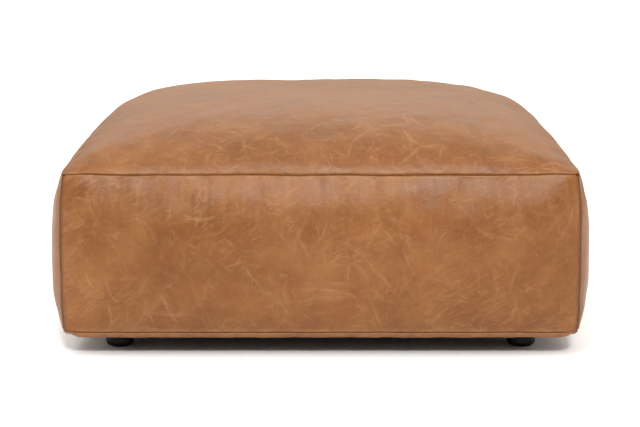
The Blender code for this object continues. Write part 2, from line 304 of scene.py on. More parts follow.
def side_panel(side, step, edge_steps):
    """One side, with its points spaced along its fullest line."""
    height = (HEM + TOP_SEAM) / 2

    def middle(s):
        return side_surface(s, np.full_like(s, height))[:, :2]

    columns = spaced(middle, step, edge_steps)
    rows = panel_rows(HEM, TOP_SEAM, step, edge_steps)
    seed = 20 + list(SIDES).index(side)
    return Panel(f"{side}_cover", seed, side_surface, columns, rows, SIDES[side])


def surface_normals(points):
    """Unit normals of a grid of points."""
    normal = np.cross(np.gradient(points, axis=0), np.gradient(points, axis=1))
    return normal / np.maximum(np.linalg.norm(normal, axis=-1, keepdims=True), 1e-12)


def link_mesh(name, verts, faces):
    """A smooth-shaded object in the scene."""
    mesh = bpy.data.meshes.new(name)
    mesh.from_pydata(verts.tolist(), [], faces.tolist() if isinstance(faces, np.ndarray) else faces)
    mesh.shade_smooth()
    mesh.update()
    obj = bpy.data.objects.new(name, mesh)
    bpy.context.scene.collection.objects.link(obj)
    return obj


def set_uv(mesh, flat):
    """Flat places in metres, for the leather and cloth patterns."""
    loops = np.empty(len(mesh.loops), np.int32)
    mesh.loops.foreach_get("vertex_index", loops)
    mesh.uv_layers.new(name="hide").data.foreach_set("uv", flat[loops].astype(np.float32).ravel())


def set_values(mesh, name, values):
    mesh.attributes.new(name, "FLOAT", "POINT").data.foreach_set("value", values.astype(np.float32).ravel())


def border_of(index):
    return np.concatenate([index[:-1, 0], index[-1, :-1], index[:0:-1, -1], index[0, :0:-1]])


def quads_of(index):
    return np.stack([index[:-1, :-1], index[1:, :-1], index[1:, 1:], index[:-1, 1:]], -1).reshape(-1, 4)


def strip(near, far):
    """Quads between two closed rows of point numbers."""
    return np.stack([far, np.roll(far, -1), np.roll(near, -1), near], -1)


def shell_mesh(name, points, uv, seam, upright, ring, thickness, turn=0, outward=1):
    """A closed skin from a grid of points, its border turned in by ring, with a second surface behind it.

    seam and upright are the distances from the nearest seam and from the nearest upright one.
    """
    n, m = points.shape[:2]
    index = np.arange(n * m).reshape(n, m)
    border = border_of(index)
    normal = surface_normals(points).reshape(-1, 3) * outward
    outer = points.reshape(-1, 3)
    lip = outer[border] + ring.reshape(-1, 3)[border]
    behind = outer - normal * thickness
    behind_lip = lip - normal[border] * thickness
    count, rim = n * m, len(border)
    lips = count + np.arange(rim)
    front = np.concatenate([quads_of(index), strip(border, lips)])
    back = front[:, ::-1] + count + rim
    faces = np.concatenate([front, back, strip(lips, lips + count + rim)])[:, ::outward]
    obj = link_mesh(name, turned(np.concatenate([outer, lip, behind, behind_lip]), turn), faces)
    flat = uv.reshape(-1, 2)
    set_uv(obj.data, np.concatenate([flat, flat[border], flat, flat[border]]))
    for label, values in (("seam", seam), ("upright", upright)):
        hidden = np.zeros(count + 2 * rim)
        set_values(obj.data, label, np.concatenate([values.reshape(-1), hidden]))
    return obj


def fit_out(piece, material, slot, *nodes):
    """Gives a piece its material, says where it rides and hides the CAD nodes it stands for; slot, its
    finish, is not used.
    """
    piece.data.materials.append(material)
    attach(piece, ROOT)
    if nodes:
        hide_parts(*nodes)


# ---- cloth

def blurred(values, cells):
    """A grid of values smoothed over a number of cells."""
    reach = int(3 * cells)
    kernel = np.exp(-0.5 * (np.arange(-reach, reach + 1) / cells) ** 2)
    kernel /= kernel.sum()
    for axis in (0, 1):
        padded = np.pad(values, [(reach, reach) if a == axis else (0, 0) for a in (0, 1)], mode="reflect")
        values = np.apply_along_axis(lambda line: np.convolve(line, kernel, "valid"), axis, padded)
    return values


def simulate_creases(panels):
    """The creases of each panel once it has settled, held at its seams and pushed out by its padding."""
    sheets = []
    for panel in panels:
        normal = surface_normals(panel.points)
        start = panel.points + normal * (0.0004 * waves(panel.u, panel.v, 0.12, panel.seed))[..., None]
        index = np.arange(panel.u.size).reshape(panel.u.shape)
        obj = link_mesh(f"{panel.name}_sheet", start.reshape(-1, 3), quads_of(index))
        group = obj.vertex_groups.new(name="seams")
        group.add(np.sort(border_of(index)).tolist(), 1.0, "REPLACE")
        cloth = obj.modifiers.new("cloth", "CLOTH")
        for key, value in CLOTH.items():
            setattr(cloth.settings, key, value)
        cloth.settings.effector_weights.gravity = 0
        cloth.point_cache.frame_start = 1
        cloth.point_cache.frame_end = CLOTH_FRAMES
        sheets.append(obj)
    for number in range(1, CLOTH_FRAMES + 1):
        bpy.context.scene.frame_set(number)
    graph = bpy.context.evaluated_depsgraph_get()
    creases = {}
    for panel, obj in zip(panels, sheets):
        data = obj.evaluated_get(graph).to_mesh()
        settled = np.empty(len(data.vertices) * 3)
        data.vertices.foreach_get("co", settled)
        settled = settled.reshape(panel.points.shape)
        move = np.sum((settled - panel.points) * surface_normals(panel.points), -1)
        move = move - blurred(move, CREASE_CELLS)
        creases[panel.name] = (panel.column, panel.row, CREASE_CAP * np.tanh(move / CREASE_CAP))
        bpy.data.objects.remove(obj)
    bpy.context.scene.frame_set(1)
    return creases


def sampled(grid, u, v):
    """Reads a value on a coarse grid at other grid positions, blended smoothly between its points."""
    column, row, values = grid
    i = np.clip(np.searchsorted(column, u) - 1, 0, len(column) - 2)
    j = np.clip(np.searchsorted(row, v) - 1, 0, len(row) - 2)
    a = np.clip((u - column[i]) / (column[i + 1] - column[i]), 0, 1)
    b = np.clip((v - row[j]) / (row[j + 1] - row[j]), 0, 1)
    a = a * a * (3 - 2 * a)
    b = b * b * (3 - 2 * b)
    low = values[i, j] * (1 - a) + values[i + 1, j] * a
    high = values[i, j + 1] * (1 - a) + values[i + 1, j + 1] * a
    return low * (1 - b) + high * b


# ---- nodes

class Nodes:
    """A short way to write a material's node tree."""

    def __init__(self, name, tree=None):
        if tree is None:
            self.material = bpy.data.materials.new(name)
            self.material.use_nodes = True
            tree = self.material.node_tree
            self.shader = tree.nodes["Principled BSDF"]
        self.tree = tree

    def add(self, kind, **settings):
        node = self.tree.nodes.new(kind)
        for key, value in settings.items():
            setattr(node, key, value)
        return node

    def put(self, socket, value):
        if isinstance(value, bpy.types.NodeSocket):
            self.tree.links.new(value, socket)
        elif socket.type == "RGBA" and len(value) == 3:
            socket.default_value = (*value, 1.0)
        else:
            socket.default_value = value

    def set(self, **values):
        for key, value in values.items():
            self.put(self.shader.inputs[key.replace("_", " ")], value)

    def math(self, operation, a, b=0.0, clamp=False):
        node = self.add("ShaderNodeMath", operation=operation, use_clamp=clamp)
        self.put(node.inputs[0], a)
        self.put(node.inputs[1], b)
        return node.outputs[0]

    def times(self, *factors):
        total = factors[0]
        for factor in factors[1:]:
            total = self.math("MULTIPLY", total, factor)
        return total

    def vector(self, operation, a, b=(0, 0, 0)):
        node = self.add("ShaderNodeVectorMath", operation=operation)
        self.put(node.inputs[0], a)
        self.put(node.inputs[1], b)
        return node.outputs["Vector"]

    def scaled(self, a, factor):
        node = self.add("ShaderNodeVectorMath", operation="SCALE")
        self.put(node.inputs[0], a)
        self.put(node.inputs["Scale"], factor)
        return node.outputs["Vector"]

    def moved(self, place, x, y=0.0, z=0.0):
        return self.vector("ADD", place, (x, y, z))

    def stretched(self, place, angle, scale):
        """Turned by an angle, then scaled along each axis."""
        node = self.add("ShaderNodeMapping", vector_type="POINT")
        self.put(node.inputs["Vector"], place)
        self.put(node.inputs["Rotation"], (0, 0, angle))
        return self.vector("MULTIPLY", node.outputs[0], scale)

    def split(self, value):
        node = self.add("ShaderNodeSeparateXYZ")
        self.put(node.inputs[0], value)
        return node.outputs["X"], node.outputs["Y"], node.outputs["Z"]

    def ramp(self, value, low, high, out_low=0.0, out_high=1.0, smooth=True):
        """Runs from out_low at low to out_high at high."""
        node = self.add("ShaderNodeMapRange", interpolation_type="SMOOTHSTEP" if smooth else "LINEAR")
        for socket, number in zip(node.inputs, (value, low, high, out_low, out_high)):
            self.put(socket, number)
        return node.outputs["Result"]

    def noise(self, place, scale, detail=2.0, roughness=0.5, colour=False):
        node = self.add("ShaderNodeTexNoise")
        self.put(node.inputs["Vector"], place)
        self.put(node.inputs["Scale"], scale)
        self.put(node.inputs["Detail"], detail)
        self.put(node.inputs["Roughness"], roughness)
        return node.outputs["Color" if colour else "Fac"]

    def patches(self, place, shift, scale, low, high, out_low=0.0, out_high=1.0, detail=2.0, roughness=0.5):
        """Soft-edged patches of smooth noise, each use with a shift of its own."""
        noise = self.noise(self.moved(place, *shift), scale, detail, roughness)
        return self.ramp(noise, low, high, out_low, out_high)

    def warp(self, place, scale, amount, detail=2.0):
        """Pushes each place about by smooth noise."""
        push = self.vector("SUBTRACT", self.noise(place, scale, detail, 0.5, colour=True), (0.5, 0.5, 0.5))
        return self.vector("ADD", place, self.scaled(push, amount))

    def cells(self, place, scale, feature="F1", dimensions="2D"):
        node = self.add("ShaderNodeTexVoronoi", voronoi_dimensions=dimensions, feature=feature)
        self.put(node.inputs["Vector"], place)
        self.put(node.inputs["Scale"], scale)
        return node

    def ridges(self, place, scale, width, detail=2.0):
        """Thin wandering lines, where a smooth noise passes through its middle value."""
        away = self.math("ABSOLUTE", self.math("SUBTRACT", self.noise(place, scale, detail, 0.55), 0.5))
        return self.ramp(away, width, 0.0)

    def mix(self, factor, a, b, blend="MIX"):
        node = self.add("ShaderNodeMix", data_type="RGBA", blend_type=blend)
        self.put(node.inputs[0], factor)
        self.put(node.inputs[6], a)
        self.put(node.inputs[7], b)
        return node.outputs[2]

    def layered(self, tone, *layers):
        """Lays colours over a tone: each layer's value ramps from low to high and covers up to amount."""
        for value, low, high, amount, colour in layers:
            tone = self.mix(self.ramp(value, low, high, 0.0, amount), tone, colour)
        return tone

    def bump(self, height, distance, strength=1.0, normal=None):
        node = self.add("ShaderNodeBump")
        self.put(node.inputs["Height"], height)
        self.put(node.inputs["Distance"], distance)
        self.put(node.inputs["Strength"], strength)
        if normal is not None:
            self.put(node.inputs["Normal"], normal)
        return node.outputs["Normal"]


def streak_group():
    """Node group: a layer of soft tapered streaks, one to a cell, that differ in slant, bend and strength."""
    tree = bpy.data.node_groups.new("streaks", "ShaderNodeTree")
    tree.interface.new_socket("Place", in_out="INPUT", socket_type="NodeSocketVector")
    for name in ("Cells", "Length", "Width", "Slant", "Spread", "Share"):
        tree.interface.new_socket(name, in_out="INPUT", socket_type="NodeSocketFloat")
    tree.interface.new_socket("Streak", in_out="OUTPUT", socket_type="NodeSocketFloat")
    n = Nodes("streaks", tree)
    source = tree.nodes.new("NodeGroupInput").outputs
    result = tree.nodes.new("NodeGroupOutput").inputs
    cells = n.cells(source["Place"], source["Cells"])
    chances = n.add("ShaderNodeSeparateColor")
    n.put(chances.inputs[0], cells.outputs["Color"])
    turn, bend, shown = chances.outputs
    dx, dy, _ = n.split(n.vector("SUBTRACT", source["Place"], cells.outputs["Position"]))
    angle = n.math("ADD", source["Slant"], n.times(n.math("SUBTRACT", turn, 0.5), source["Spread"]))
    cos, sin = n.math("COSINE", angle), n.math("SINE", angle)
    along = n.math("ADD", n.times(dx, cos), n.times(dy, sin))
    across = n.math("SUBTRACT", n.times(dy, cos), n.times(dx, sin))
    share = n.math("DIVIDE", along, source["Length"])
    square = n.times(share, share)
    bow = n.times(square, source["Length"], n.math("SUBTRACT", bend, 0.5), 0.45)
    across = n.math("ADD", across, bow)
    taper = n.math("SUBTRACT", 1.0, square, clamp=True)
    width = n.times(source["Width"], n.math("ADD", n.times(taper, 0.85), 0.15))
    near = n.math("DIVIDE", across, width)
    soft = n.math("EXPONENT", n.times(near, near, -2.2))
    # Each streak is made of strands that run along it
    strand = n.add("ShaderNodeCombineXYZ")
    for socket, value, scale in zip(strand.inputs, (along, across, bend), (28.0, 300.0, 40.0)):
        n.put(socket, n.times(value, scale))
    frayed = n.ramp(n.noise(strand.outputs[0], 1.0, 1.0), 0.34, 0.64, 0.25, 1.0)
    shown = n.ramp(shown, n.math("SUBTRACT", 1.0, source["Share"]), 1.0, smooth=False)
    n.put(result["Streak"], n.times(soft, taper, frayed, n.math("POWER", shown, 0.5)))
    return tree


def leather_material(name, shift, tilt, upright=0.0, wear=1.0, base=1.0):
    """Waxed pull-up leather: clouded tan, with pale streaks and fine veins where it has been stretched.

    tilt turns the long streaks, upright is how strong the fine upright pulls of a side panel are, wear is how
    strong the pale marks are, and base darkens the whole piece.
    """
    n = Nodes(name)
    uv = n.add("ShaderNodeUVMap", uv_map="hide").outputs[0]
    place = n.moved(uv, *shift)
    seam = n.add("ShaderNodeAttribute", attribute_name="seam").outputs["Fac"]
    upright_seam = n.add("ShaderNodeAttribute", attribute_name="upright").outputs["Fac"]
    warped = n.warp(n.warp(place, 8.0, 0.034), 38.0, 0.0028, 2.0)

    # Pale streaks, from long pulls to short scuffs, each broken up along its length
    group = bpy.data.node_groups.get("streaks") or streak_group()
    streaks = None
    for number, (cells, length, width, slant, spread, share, strength) in enumerate(STREAKS):
        layer = n.add("ShaderNodeGroup", node_tree=group)
        moved = n.moved(warped, 0.37 * number, 0.91 * number)
        for socket, value in zip(layer.inputs, (moved, cells, length, width, tilt + slant, spread, share)):
            n.put(socket, value)
        value = n.times(layer.outputs[0], strength)
        streaks = value if streaks is None else n.math("MAXIMUM", streaks, value)
    broken = n.patches(place, (1.9, 6.3), 70.0, 0.30, 0.62, 0.35, detail=3.0, roughness=0.6)
    crowd = n.patches(place, (3.1, 1.7), 6.0, 0.36, 0.60, 0.30)
    streaks = n.times(streaks, broken, crowd)

    # Wandering veins and a net of them, only in patches
    coarse = n.ridges(n.moved(warped, 4.2, 9.1), 10.0, 0.016, 3.0)
    coarse = n.times(coarse, n.patches(place, (2.9, 8.3), 17.0, 0.46, 0.66), 0.26)
    fine = n.ridges(n.moved(warped, 8.8, 0.6), 24.0, 0.030, 3.0)
    fine = n.times(fine, n.patches(place, (5.6, 3.9), 30.0, 0.48, 0.64), 0.34)
    net = n.cells(n.moved(warped, 1.3, 0.4), 40.0, "DISTANCE_TO_EDGE").outputs["Distance"]
    net = n.times(n.ramp(net, 0.060, 0.0), n.patches(place, (7.7, 5.1), 7.0, 0.50, 0.66))
    net = n.times(net, n.patches(place, (6.1, 2.2), 36.0, 0.38, 0.60), 0.24)
    veins = n.math("MAXIMUM", n.math("MAXIMUM", coarse, fine), net)
    pale = n.math("MAXIMUM", streaks, veins, clamp=True)

    # Brushed fields of fine parallel pulls
    brushed = n.noise(n.stretched(n.warp(place, 14.0, 0.02), tilt, (26.0, 150.0, 1.0)), 1.0, 3.0, 0.6)
    brushed = n.times(n.math("SUBTRACT", brushed, 0.5), n.patches(place, (0.7, 4.4), 5.5, 0.42, 0.62))
    if upright:
        pulls = n.noise(n.stretched(n.warp(place, 10.0, 0.03), 0.0, (95.0, 9.0, 1.0)), 1.0, 3.0, 0.55)
        _, height, _ = n.split(uv)
        pulls = n.times(n.math("SUBTRACT", pulls, 0.5), n.ramp(height, 0.13, 0.25, 0.12, 1.0), upright)
        brushed = n.math("ADD", brushed, pulls)

    # Clouds of tone
    broad = n.noise(place, 3.4, 3.0, 0.55)
    mottle = n.noise(n.moved(n.warp(place, 20.0, 0.02), 5.0, 2.0), 15.0, 4.0, 0.62)
    fleck = n.noise(place, 95.0, 3.0, 0.6)
    tone = n.mix(n.ramp(broad, 0.30, 0.70, 0.16, 0.86), DARK_TAN, LIGHT_TAN)
    tone = n.layered(
        tone,
        (mottle, 0.46, 0.72, 0.46, PALE_TAN),
        (mottle, 0.52, 0.28, 0.50, DEEP_TAN),
        (n.noise(n.moved(place, 9.4, 7.2), 7.5), 0.52, 0.70, 0.45, RED_TAN),
        (fleck, 0.36, 0.72, 0.16, PALE_TAN),
        (brushed, 0.02, 0.18, 0.36, PALE_TAN),
        (brushed, -0.02, -0.18, 0.24, DEEP_TAN),
    )
    tone = n.mix(n.times(pale, 0.58 * wear), tone, STREAK_TAN)

    # Dye gathers in the seams, a painted shade darkens the leather beside upright ones, and the roll beside a
    # level one is rubbed paler, partly a painted highlight
    # pale band beside the level seams: rubbed paler, and a painted highlight on the roll there
    rub_and_highlight = n.times(
        n.ramp(seam, 0.0016, 0.0034),
        n.ramp(seam, 0.0120, 0.0040),
        n.ramp(n.noise(place, 45.0, 2.0), 0.30, 0.66),
        n.ramp(upright_seam, 0.0080, 0.0160),
    )
    # painted shade: a darker tone within 10 mm of each upright seam, standing in for the shade beside it
    tone = n.layered(tone, (upright_seam, 0.0100, 0.0010, 0.52, SHADE_TAN))
    tone = n.mix(n.times(rub_and_highlight, 0.26), tone, STREAK_TAN)
    tone = n.layered(tone, (seam, 0.0014, 0.0003, 0.45, SEAM_TAN))
    if base != 1.0:
        tone = n.mix(1.0, tone, (base, base, base), "MULTIPLY")

    # Waxed places are glossier, and streaks duller
    rough = n.math("ADD", 0.41, n.times(pale, 0.10))
    for value, amount in ((mottle, 0.26), (fleck, 0.16)):
        rough = n.math("ADD", rough, n.times(n.math("SUBTRACT", value, 0.5), amount))

    # Relief: pores, then wrinkles and pulls, then the streaks as shallow creases
    pores = n.cells(n.warp(place, 260.0, 0.0016, 1.0), 560.0, "SMOOTH_F1").outputs["Distance"]
    relief = n.bump(pores, 0.00030, 0.40)
    wrinkles = n.noise(n.warp(place, 30.0, 0.016), 34.0, 4.0, 0.62)
    relief = n.bump(n.math("ADD", wrinkles, n.times(brushed, 0.5)), 0.0015, 0.55, relief)
    relief = n.bump(n.times(pale, -1.0), 0.00045, 0.60, relief)
    n.set(Base_Color=tone, Roughness=rough, Normal=relief)
    n.set(Specular_IOR_Level=0.25, Sheen_Weight=0.05, Sheen_Roughness=0.45)
    return n.material


# Layers of streaks: cells per metre, half length, half width, slant, spread, share of cells, strength
STREAKS = [
    (6.5, 0.078, 0.0072, 0.0, 1.4, 0.60, 0.78),
    (8.5, 0.060, 0.0080, 1.1, 2.0, 0.60, 0.68),
    (11.0, 0.046, 0.0054, -0.5, 2.6, 0.60, 0.90),
    (14.0, 0.036, 0.0062, 0.8, 3.1, 0.55, 0.68),
    (17.0, 0.029, 0.0037, 0.3, 3.1, 0.55, 0.85),
    (22.0, 0.024, 0.0046, -0.9, 3.1, 0.55, 0.60),
    (29.0, 0.018, 0.0026, 0.0, 3.1, 0.50, 0.58),
    (40.0, 0.013, 0.0022, 0.9, 3.1, 0.45, 0.42),
]

# Base colours of the leather
DARK_TAN = (0.168, 0.057, 0.013)
LIGHT_TAN = (0.229, 0.0863, 0.0236)
PALE_TAN = (0.291, 0.126, 0.0417)
DEEP_TAN = (0.13, 0.0409, 0.00861)
RED_TAN = (0.212, 0.0659, 0.018)
STREAK_TAN = (0.394, 0.209, 0.0984)
SEAM_TAN = (0.120, 0.042, 0.013)
# the painted shade colour beside the upright seams
SHADE_TAN = (0.075, 0.026, 0.008)


# ---- leather cover

def corner_shape(along, up, half_width, half_height):
    """A dimple by each upper corner of a panel, where the leather is drawn in, and the swell next to it."""
    from_side = half_width - np.abs(along)
    from_top = half_height - up
    dimple = hill(from_side, 0.012, 0.009) * hill(from_top, 0.020, 0.016)
    swell = hill(from_side, 0.040, 0.020) * hill(from_top, 0.014, 0.014)
    return 0.0010 * swell - 0.0024 * dimple


def seam_drift(world, s, near_top, near_hem, rising=True):
    """Seams aren't quite level: the top one rides up before each corner, and both wander a little."""
    lift = 0.0013 * hill(np.abs(s), 0.90, 0.06)
    lift = lift + 0.00045 * waves(world[..., 0], world[..., 1], 0.13, 5)
    hem = 0.00035 * waves(world[..., 0], world[..., 1], 0.10, 6)
    if rising:
        hem = hem + corner_rise(s, HEM_RISE, HEM_RISE_REACH)
    return lift * np.exp(-near_top / 0.022) + hem * np.exp(-near_hem / 0.018)


def rolled_in(points, edge, width, depth):
    """The way into the cover, and how far each point goes along it, so that an edge rolls into its seam."""
    share = 1 - np.minimum(edge / width, 1)
    return into_cover(points), depth * (1 - np.sqrt(np.maximum(1 - share**2, 0)))


def finish_panel(panel, creases, material):
    """Adds everything that makes a smooth panel into leather over padding, and makes its skin."""
    surface = panel.points.copy()
    top = panel.name == "top_cover"
    x, y = np.meshgrid(panel.along, panel.up, indexing="ij")
    half = np.max(np.abs(panel.along))
    if top:
        from_top, from_hem = panel.edge, 1.0
        s = np.where(panel.edge_u < panel.edge_v, panel.v, panel.u)
        from_corner = np.hypot(panel.edge_u, panel.edge_v)
        coarse_gather, crease_share = 0.00018, 0.42
    else:
        from_top, from_hem = panel.height - y, y
        s = panel.u
        from_corner = np.hypot(panel.edge_u, from_top)
        coarse_gather, crease_share = 0.00030, 0.32
    surface[..., 2] += seam_drift(turned(surface, panel.turn), s, from_top, from_hem)
    normal = surface_normals(surface)
    # Broad unevenness of the padding
    deep = 1 - np.exp(-panel.edge / 0.030)
    rise = deep * (0.0010 * waves(x, y, 0.24, panel.seed + 1) + 0.00040 * waves(x, y, 0.070, panel.seed + 2))
    # Small gathers that run in from the seams
    along_seam = np.where(panel.edge_u < panel.edge_v, y, x)
    gather = 0.00024 * ripples(along_seam, 0.030, panel.seed + 3) * np.exp(-panel.edge / 0.012)
    coarse = coarse_gather * ripples(along_seam, 0.075, panel.seed + 4) * np.exp(-panel.edge / 0.042)
    rise = rise + (gather + coarse) * (1 - np.exp(-panel.edge / 0.004))
    if creases is not None:
        rise = rise + crease_share * sampled(creases[panel.name], panel.u, panel.v)
    if top:
        rise = rise + 0.5 * corner_shape(x, np.abs(y), half, half)
    else:
        rise = rise + corner_shape(x, y, half, panel.height)
    # A panel thickens where it rolls into a seam
    rise = rise + 0.0006 * hill(panel.edge, 0.0036, 0.0024)
    points = surface + normal * rise[..., None]
    inward, depth = rolled_in(points, panel.edge, ROLL_WIDTH, ROLL_DEPTH)
    if not top:
        _, upright_depth = rolled_in(points, panel.edge_u, UPRIGHT_ROLL_WIDTH, UPRIGHT_ROLL_DEPTH)
        depth = np.maximum(depth, upright_depth)
    notch = NOTCH_DEPTH * hill(from_corner, 0, NOTCH_SIZE)
    points = points + inward * (depth + notch)[..., None]
    obj = shell_mesh(
        panel.name,
        points,
        np.stack([x, y], -1),
        panel.edge,
        np.ones_like(panel.edge) if top else panel.edge_u,
        inward * np.maximum(ALLOWANCE - notch, 0.001)[..., None],
        SKIN,
        turn=panel.turn,
    )
    fit_out(obj, material, "leather", panel.name.replace("_cover", "_panel"))


def all_panels(step, edge_steps):
    return [top_panel(step, edge_steps)] + [side_panel(side, step, edge_steps) for side in SIDES]


def make_cover():
    creases = None
    creases = simulate_creases(all_panels(COARSE_STEP, [0.0, COARSE_STEP]))
    # Each panel's place in the pattern, tilt, upright pulls and wear
    looks = {
        "top_cover": ((0.0, 0.0), 0.35, 0.0, 1.45),
        "front_cover": ((3.3, 1.1), -0.55, 0.8, 1.10),
        "right_cover": ((6.1, 2.4), 0.9, 0.8),
        "back_cover": ((9.2, 4.6), -0.3, 0.8),
        "left_cover": ((12.4, 6.2), 0.6, 0.8),
    }
    for panel in all_panels(STEP, EDGE_STEPS):
        finish_panel(panel, creases, leather_material(f"leather_{panel.name}", *looks[panel.name]))


def make_base_bands():
    """The strips below the hem, folded under the frame, where they are stapled flat."""

    def rim(s):
        return band_surface(s, 0 * s)[:, :2]

    columns, from_side, half = spaced(rim, STEP, EDGE_STEPS)
    dense = np.linspace(0, 2, DENSE)
    length = run_length(band_surface(0 * dense, dense))
    fold, width = np.interp(1.0, dense, length), length[-1]
    round_fold = np.linspace(0.0036, fold + 0.004, 14)
    far = np.concatenate([EDGE_STEPS[:7], round_fold, np.linspace(fold + 0.008, width, 8)])
    rows = np.interp(np.maximum(far, SEAM_SLIT), length, dense)
    u, v = np.meshgrid(columns, rows, indexing="ij")
    edge_u, edge_v = np.meshgrid(from_side, far, indexing="ij")
    x = np.sign(u) * (half - edge_u)
    # Past the fold the strip soon lies flat, with no roll at its ends
    flat = np.clip((v - 1) / 0.25, 0, 1)
    edge = np.minimum(edge_v, edge_u + 0.01 * flat)
    for number, (side, turn) in enumerate(SIDES.items()):
        surface = band_surface(u, v)
        surface[..., 2] += seam_drift(turned(surface, turn), u, 1.0, edge_v, rising=False)
        normal = -surface_normals(surface)
        lip = 0.0009 * hill(edge_v, 0.0030, 0.0017) * (1 - hill(edge_u, 0, 0.010))
        uneven = 0.00022 * ripples(x, 0.050, 60 + number) + 0.00012 * ripples(x, 0.018, 70 + number)
        rise = lip + uneven * np.minimum(edge_v / 0.004, 1)
        points = surface + normal * rise[..., None]
        inward, depth = rolled_in(points, edge, BAND_ROLL_WIDTH, BAND_ROLL_DEPTH)
        points = points + inward * depth[..., None]
        ring = inward * (ALLOWANCE * (1 - flat) + 0.0004 * flat)[..., None]
        uv = np.stack([x, -edge_v], -1)
        obj = shell_mesh(
            f"base_strip_{side}", points, uv, edge, edge_u + 0.004, ring, SKIN, turn=turn, outward=-1
        )
        material = leather_material(f"leather_base_{side}", (20.0 + 2 * number, 3.0), 0.1, base=0.95)
        fit_out(obj, material, "leather", f"base_band_{side}")


# ---- underside

def graded(half, centres, near, fine, coarse):
    """Even steps from -half to half, closer together near the given places."""
    marks = [-half]
    while marks[-1] < half - 0.4 * fine:
        close = min(abs(marks[-1] - c) for c in centres)
        marks.append(marks[-1] + (fine if close < near else coarse))
    marks = np.array(marks)
    return marks * half / marks[-1]


def make_dust_cover():
    """The thin black cloth under the frame: pulled flat, stapled near its edge, with a hole for each stud."""
    low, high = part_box("dust_cover")
    half, thickness = high[0], high[2] - low[2]
    stud_low, stud_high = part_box("foot_stud_front_right")
    foot = (stud_low[0] + stud_high[0]) / 2
    rounding, hole, ease = 0.010, 0.0060, 0.0001
    marks = graded(half, (-half, -foot, foot, half), 0.020, 0.0030, 0.0090)
    u, v = np.meshgrid(marks, marks, indexing="ij")
    a = np.clip((np.abs(u) - half + rounding) / rounding, 0, 1)
    b = np.clip((np.abs(v) - half + rounding) / rounding, 0, 1)
    x = np.sign(u) * (np.abs(u) - rounding * a * (1 - np.sqrt(1 - b * b / 2)))
    y = np.sign(v) * (np.abs(v) - rounding * b * (1 - np.sqrt(1 - a * a / 2)))
    edge = half - np.maximum(np.abs(x), np.abs(y))
    from_foot = np.hypot(np.abs(x) - foot, np.abs(y) - foot)
    # It hangs a little between its fixings, with faint pulls in from each staple
    free = (1 - np.exp(-np.maximum(edge - 0.012, 0) / 0.10)) * (1 - hill(from_foot, 0, 0.05))
    along = np.where(np.abs(x) > np.abs(y), y, x)
    pulls = 0.5 * (1 - np.cos(2 * math.pi * along / STAPLE_PITCH)) * np.exp(-edge / 0.030)
    sag = free * (0.0009 + 0.00040 * waves(x, y, 0.16, 81) + 0.00018 * waves(x, y, 0.05, 82)) + 0.0005 * pulls
    hem = 0.00035 * (1 - np.clip((edge - 0.0115) / 0.0010, 0, 1))
    z = low[2] + ease - (np.clip(sag, 0, 0.0016) + hem) * (from_foot > FOOT_CLEAR)
    points = np.stack([x, y, z], -1).reshape(-1, 3)
    # Cut the holes, then move the points on their rims out to a circle
    quads = quads_of(np.arange(u.size).reshape(u.shape))
    quads = quads[~(from_foot.reshape(-1) < hole)[quads].any(1)]
    edges = np.stack([quads, np.roll(quads, -1, axis=1)], -1).reshape(-1, 2)
    _, first, uses = np.unique(np.sort(edges, axis=1), axis=0, return_index=True, return_counts=True)
    rim = edges[first[uses == 1]]
    round_rim = np.unique(rim)
    round_rim = round_rim[from_foot.reshape(-1)[round_rim] < hole + 0.0032]
    centre = np.sign(points[round_rim, :2]) * foot
    away = points[round_rim, :2] - centre
    points[round_rim, :2] = centre + away * hole / np.linalg.norm(away, axis=1, keepdims=True)
    # Keep the points in use, and close the cloth with a top side and a strip along every rim
    used, places = np.unique(quads, return_inverse=True)
    quads, rim = places.reshape(quads.shape), np.searchsorted(used, rim)
    count = len(used)
    bottom = points[used]
    verts = np.concatenate([bottom, bottom + np.array([0, 0, thickness - ease])])
    sides = np.stack([rim[:, 0], rim[:, 0] + count, rim[:, 1] + count, rim[:, 1]], -1)
    obj = link_mesh("underside_cloth", verts, np.concatenate([quads[:, ::-1], quads + count, sides]))
    set_uv(obj.data, verts[:, :2])
    staples = make_staples(half, low[2])
    fit_out(obj, cloth_material(), "dust_cloth", "dust_cover")


def make_staples(half, level):
    """Fine wire staples round the cloth, each a flat crown with its two corners bent over."""
    wire, reach, leg = 0.0006, 0.0050, 0.0008
    bent = [(reach - 0.0004, 0), (reach, 0.0003), (reach, leg)]
    profile = [(-a, rise) for a, rise in bent[::-1]] + bent
    section = ((-wire, 0), (wire, 0), (wire, -0.0005), (-wire, -0.0005))
    verts, faces = [], []
    count = int(2 * (half - 0.030) / STAPLE_PITCH)
    rng = np.random.default_rng(91)
    for turn in (0, 90, 180, 270):
        for number in range(count + 1):
            x = (number - count / 2) * STAPLE_PITCH + rng.uniform(-0.0020, 0.0020)
            y = -(half - 0.0065 + rng.uniform(-0.0009, 0.0009))
            slant = rng.uniform(-0.16, 0.16)
            first = len(verts)
            for a, rise in profile:
                for w, lift in section:
                    px = x + a * math.cos(slant) - w * math.sin(slant)
                    py = y + a * math.sin(slant) + w * math.cos(slant)
                    verts.append(turned(np.array([px, py, level - 0.0004 + rise + lift]), turn))
            for i in range(len(profile) - 1):
                p, q = first + 4 * i, first + 4 * i + 4
                for k in range(4):
                    faces.append([p + k, p + (k + 1) % 4, q + (k + 1) % 4, q + k])
            faces.append([first + 3, first + 2, first + 1, first])
            last = first + 4 * (len(profile) - 1)
            faces.append([last, last + 1, last + 2, last + 3])
    obj = link_mesh("underside_staples", np.array(verts), faces)
    obj.data.shade_flat()
    fit_out(obj, steel_material("staple_wire", 0.0), "zinc_steel")
    return obj


